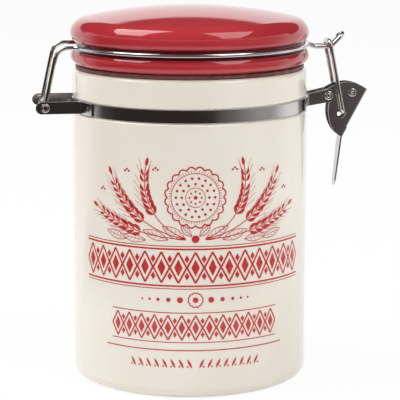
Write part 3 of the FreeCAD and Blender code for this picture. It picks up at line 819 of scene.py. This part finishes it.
# %% [markdown]
# The room is white to the camera. Glossy rays see a flat white backdrop behind the jar, about 22
# degrees high, a low white wall all round, and a dim ceiling over both. The backdrop draws the
# pale cap on the lid's dome: a flat wall looks lower towards its ends, as the cosine of the angle.

# %% The room's light
ROOM_LIGHT = 0.60
BACKDROP_TOP = 0.40
WALL_TOP = 0.10
TOP_BLUR = 0.02
CEILING_DIM = 0.05

world = bpy.data.worlds.new("white_room")
bpy.context.scene.world = world
world.use_nodes = True


class Room(Finish):
    """The world's nodes, in the same small language as a material's."""

    def __init__(self, made):
        self.tree = made.node_tree
        self.place = Socket(self, self.tree.nodes.new("ShaderNodeTexCoord").outputs["Generated"])


room = Room(world)
height = room.node("ShaderNodeSeparateXYZ", {}, room.place, out=2)
rays = room.tree.nodes.new("ShaderNodeLightPath").outputs
is_camera = Socket(room, rays["Is Camera Ray"])
is_glossy = Socket(room, rays["Is Glossy Ray"])
sideways = room.node("ShaderNodeSeparateXYZ", {}, room.place, out=0)
backwards = room.node("ShaderNodeSeparateXYZ", {}, room.place, out=1)
backwards = sideways * math.sin(CAMERA_AROUND) + backwards * math.cos(CAMERA_AROUND)
backdrop = backwards * BACKDROP_TOP
white_top = room.node("ShaderNodeMath", {"operation": "MAXIMUM"}, backdrop, WALL_TOP)
ceiling = (height - white_top).clamped(-TOP_BLUR, TOP_BLUR)
mirrored_room = 1.0 - ceiling * (1.0 - CEILING_DIM)
room_light = (1.0 - is_camera) * (1.0 - is_glossy) * ROOM_LIGHT
strength = is_camera + is_glossy * mirrored_room + room_light
background = room.tree.nodes["Background"]
background.inputs["Color"].default_value = (1.0, 1.0, 1.0, 1.0)
room.tree.links.new(strength.output, background.inputs["Strength"])

# %% [markdown]
# Two overhead soft boxes make the paired highlights. Their corners were found by reflecting the
# camera's rays off the lid's roll: the highlights' corners land on the ceiling there. A dark
# screen curves round the front, unseen by the camera, and gives the steel something to mirror.
# It fades to white towards its top, towards the back, and close to the jar.

# %% Lamps and the dark screen
LAMP_HEIGHT = 1.5


def soft_box(name, place, size, turn, radiance):
    """A flat lamp under the ceiling, turned in plan, of a given brightness per area."""
    data = bpy.data.lights.new(name, "AREA")
    data.shape = "RECTANGLE"
    data.size, data.size_y = size
    data.energy = radiance * math.pi * size[0] * size[1]
    lit = bpy.data.objects.new(name, data)
    lit.location = (*place, LAMP_HEIGHT)
    lit.rotation_euler = (0, 0, math.radians(turn))
    bpy.context.collection.objects.link(lit)


soft_box("box_left", (-0.98, 0.06), (1.35, 0.9), 35, 4.8)
soft_box("box_right", (1.00, -1.13), (2.2, 0.85), -64, 2.9)

SCREEN_RADIUS = 0.62
SCREEN_TOP = 0.40
SCREEN_FOOT = 0.17
SCREEN_COLUMNS = 48
SCREEN_LIFT = 0.003
SCREEN_FROM = -216
SCREEN_TO = 12
SCREEN_DARK = (0.030, 0.019, 0.018, 1.0)
SCREEN_GREY = (0.42, 0.39, 0.40, 1.0)
WHITE = (1.0, 1.0, 1.0, 1.0)
GREY_TO_THE_RIGHT = (0.14, 0.64)
FOLD_SHARE = 0.14
FADE_UP = (0.28, SCREEN_TOP)
FADE_BACK = (0.06, 0.36)
FADE_RIGHT = (0.0, 0.1)
FADE_RIGHT_BACK = (-0.20, 0.13)
FADE_NEAR = (SCREEN_FOOT, 2.2 * SCREEN_FOOT)

turn = np.radians(np.linspace(SCREEN_FROM, SCREEN_TO, SCREEN_COLUMNS))
round_jar = np.stack([np.cos(turn), np.sin(turn)], axis=1)
outline = ((SCREEN_FOOT, SCREEN_LIFT), (SCREEN_RADIUS, SCREEN_LIFT), (SCREEN_RADIUS, SCREEN_TOP))
grid = np.stack([
    np.column_stack([round_jar * radius, np.full(SCREEN_COLUMNS, height)])
    for radius, height in outline
])
index = np.arange(grid.shape[0] * SCREEN_COLUMNS).reshape(grid.shape[:2])
quads = np.stack([index[:-1, :-1], index[:-1, 1:], index[1:, 1:], index[1:, :-1]], axis=-1)
screen_mesh = bpy.data.meshes.new("dark_screen")
screen_mesh.from_pydata(grid.reshape(-1, 3).tolist(), [], quads.reshape(-1, 4).tolist())
screen = bpy.data.objects.new("dark_screen", screen_mesh)
bpy.context.collection.objects.link(screen)
BLACK = (0.0, 0.0, 0.0, 1.0)
cloth = Finish("screen_cloth", Base_Color=BLACK, Roughness=1.0, Specular_IOR_Level=0.0)
right_way = cloth.node("ShaderNodeSeparateXYZ", {}, cloth.place, out=0)
back_way = cloth.node("ShaderNodeSeparateXYZ", {}, cloth.place, out=1)
upward = cloth.node("ShaderNodeSeparateXYZ", {}, cloth.place, out=2)
folds = cloth.noise(scale=4.5, detail=2.0, stretch=(1.0, 1.0, 0.6)).clamped(low=0.5, high=0.7)
grey = right_way.clamped(*GREY_TO_THE_RIGHT) + folds * FOLD_SHARE
tone = cloth.mix(grey, SCREEN_DARK, SCREEN_GREY)
feather = upward.clamped(*FADE_UP) + back_way.clamped(*FADE_BACK)
feather = feather + back_way.clamped(*FADE_RIGHT_BACK) * right_way.clamped(*FADE_RIGHT)
distance = cloth.node("ShaderNodeVectorMath", {"operation": "LENGTH"}, cloth.place, out=1)
feather = feather + 1.0 - distance.clamped(*FADE_NEAR)
tone = cloth.mix(feather, tone, WHITE)
cloth.set("Emission Color", tone)
cloth.shader.inputs["Emission Strength"].default_value = 1.0
screen_mesh.materials.append(cloth.material)
screen.visible_camera = False
screen.visible_diffuse = False
screen.visible_shadow = False
